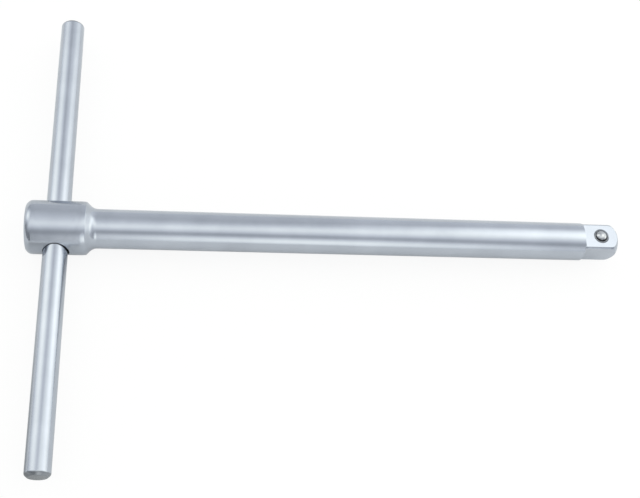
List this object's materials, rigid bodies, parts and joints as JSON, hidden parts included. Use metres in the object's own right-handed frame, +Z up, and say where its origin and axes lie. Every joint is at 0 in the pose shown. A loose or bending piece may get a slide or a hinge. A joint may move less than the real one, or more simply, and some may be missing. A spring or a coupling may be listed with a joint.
{
  "type": "sliding t-handle socket wrench",
  "caption": "Long round chrome shank with a square drive and retaining ball at one end and a thicker hub at the other, through which a plain cross bar slides to give leverage.",
  "frame": {"origin": "on the surface that the tool lies on, under the middle of its length", "axes": "+X along the shank from the hub to the drive square, +Y along the cross bar, +Z up, out of the flat that holds the drive ball"},
  "size_m": [0.2664, 0.219, 0.0235],
  "materials": {
    "satin_chrome_shank": "satin chrome plate on forged steel",
    "satin_chrome_bar": "satin chrome plate on drawn steel rod",
    "polished_ball_steel": "polished bearing steel",
    "drive_spring_steel": "bare drawn spring wire",
    "detent_ball_steel": "polished bearing steel",
    "detent_spring_steel": "bare drawn spring wire",
    "plug_steel": "pressed in and plated with the shank"
  },
  "bodies": {
    "shank": {"shank": "satin_chrome_shank", "hub_plug": "plug_steel", "drive_ball_spring": "drive_spring_steel", "bar_detent_spring": "detent_spring_steel"},
    "cross_bar": {"cross_bar": "satin_chrome_bar"},
    "drive_ball": {"drive_ball": "polished_ball_steel"},
    "bar_detent_ball": {"bar_detent_ball": "detent_ball_steel"}
  },
  "joints": [
    {"name": "bar_slide", "type": "slide", "parent": "shank", "child": "cross_bar", "axis": [0, 1, 0], "range_m": [-0.095, 0.095]},
    {"name": "drive_ball_press", "type": "slide", "parent": "shank", "child": "drive_ball", "axis": [0, 0, 1], "range_m": [-0.0015, 0], "stiffness_N_per_m": 4000, "deforming": ["drive_ball_spring"]},
    {"name": "bar_detent_press", "type": "slide", "parent": "shank", "child": "bar_detent_ball", "axis": [1, 0, 0], "range_m": [-0.0005, 0], "stiffness_N_per_m": 8000, "deforming": ["bar_detent_spring"]}
  ]
}
